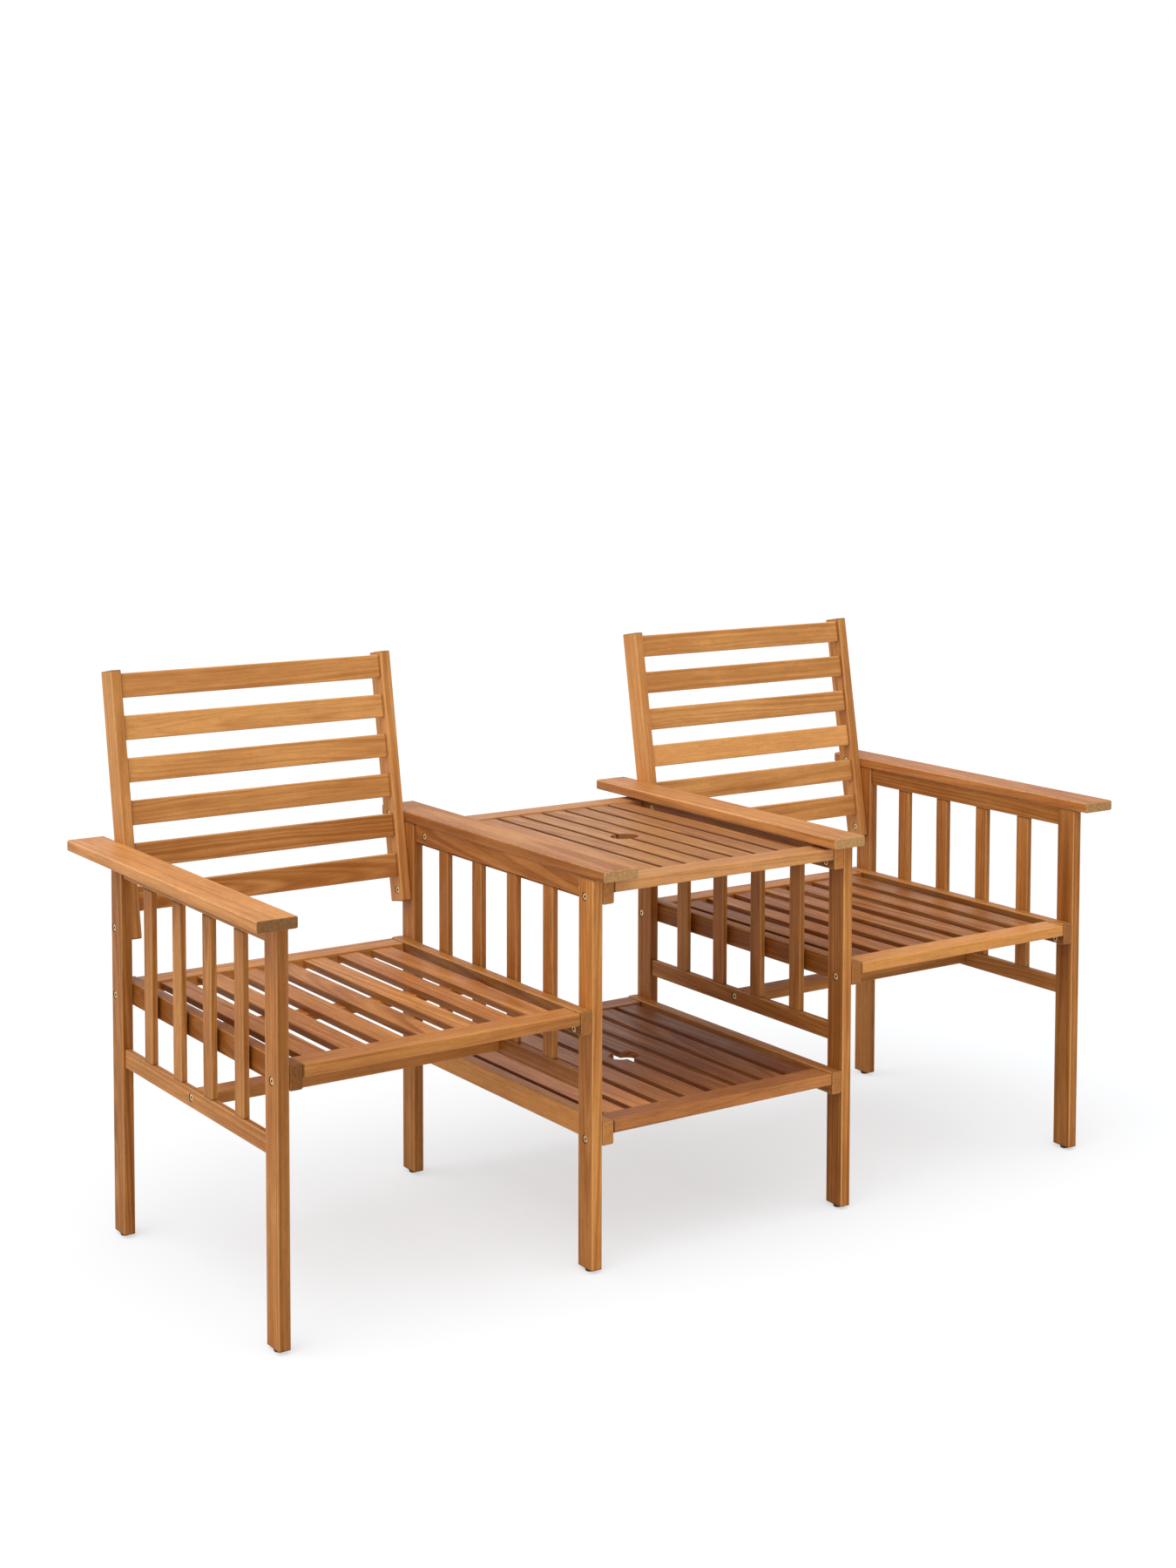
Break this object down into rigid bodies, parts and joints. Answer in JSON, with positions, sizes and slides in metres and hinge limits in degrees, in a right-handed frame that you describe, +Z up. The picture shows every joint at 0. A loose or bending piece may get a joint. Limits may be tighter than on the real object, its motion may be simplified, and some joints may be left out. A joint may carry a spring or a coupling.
{
  "type": "two-seat companion seat with table",
  "caption": "Slatted wooden outdoor companion seat: two armchairs side by side, joined by a table with a pole hole and a lower shelf.",
  "frame": {"origin": "on the floor, under the middle of the seat's overall box", "axes": "+X to the right of someone facing the seat, +Y to the back of the seat, +Z up"},
  "size_m": [1.594, 0.6701, 0.8664],
  "materials": {
    "frame_wood": "oiled",
    "arm_wood": "oiled",
    "seat_wood": "oiled",
    "table_wood": "oiled",
    "shelf_wood": "oiled",
    "back_wood": "oiled",
    "glide_plastic": "matte"
  },
  "bodies": {
    "root": {"left_chair_back_slat_1": "back_wood", "left_chair_back_slat_2": "back_wood", "left_chair_back_slat_3": "back_wood", "left_chair_back_slat_4": "back_wood", "left_chair_back_slat_5": "back_wood", "left_chair_back_slat_6": "back_wood", "left_chair_inner_arm_board": "arm_wood", "left_chair_inner_front_glide": "glide_plastic", "left_chair_inner_front_leg": "frame_wood", "left_chair_inner_lower_rail_with_slats": "frame_wood", "left_chair_inner_rear_glide": "glide_plastic", "left_chair_inner_rear_leg": "frame_wood", "left_chair_inner_upper_rail": "frame_wood", "left_chair_left_back_post": "back_wood", "left_chair_outer_arm_board": "arm_wood", "left_chair_outer_front_glide": "glide_plastic", "left_chair_outer_front_leg": "frame_wood", "left_chair_outer_lower_rail_with_slats": "frame_wood", "left_chair_outer_rear_glide": "glide_plastic", "left_chair_outer_rear_leg": "frame_wood", "left_chair_outer_upper_rail": "frame_wood", "left_chair_right_back_post": "back_wood", "left_chair_seat_left_bearer": "seat_wood", "left_chair_seat_panel": "seat_wood", "left_chair_seat_right_bearer": "seat_wood", "left_chair_stretcher": "frame_wood", "right_chair_back_slat_1": "back_wood", "right_chair_back_slat_2": "back_wood", "right_chair_back_slat_3": "back_wood", "right_chair_back_slat_4": "back_wood", "right_chair_back_slat_5": "back_wood", "right_chair_back_slat_6": "back_wood", "right_chair_inner_arm_board": "arm_wood", "right_chair_inner_front_glide": "glide_plastic", "right_chair_inner_front_leg": "frame_wood", "right_chair_inner_lower_rail_with_slats": "frame_wood", "right_chair_inner_rear_glide": "glide_plastic", "right_chair_inner_rear_leg": "frame_wood", "right_chair_inner_upper_rail": "frame_wood", "right_chair_left_back_post": "back_wood", "right_chair_outer_arm_board": "arm_wood", "right_chair_outer_front_glide": "glide_plastic", "right_chair_outer_front_leg": "frame_wood", "right_chair_outer_lower_rail_with_slats": "frame_wood", "right_chair_outer_rear_glide": "glide_plastic", "right_chair_outer_rear_leg": "frame_wood", "right_chair_outer_upper_rail": "frame_wood", "right_chair_right_back_post": "back_wood", "right_chair_seat_left_bearer": "seat_wood", "right_chair_seat_panel": "seat_wood", "right_chair_seat_right_bearer": "seat_wood", "right_chair_stretcher": "frame_wood", "shelf_left_bearer": "shelf_wood", "shelf_panel": "shelf_wood", "shelf_right_bearer": "shelf_wood", "table_left_bearer": "table_wood", "table_panel": "table_wood", "table_right_bearer": "table_wood"}
  },
  "joints": []
}
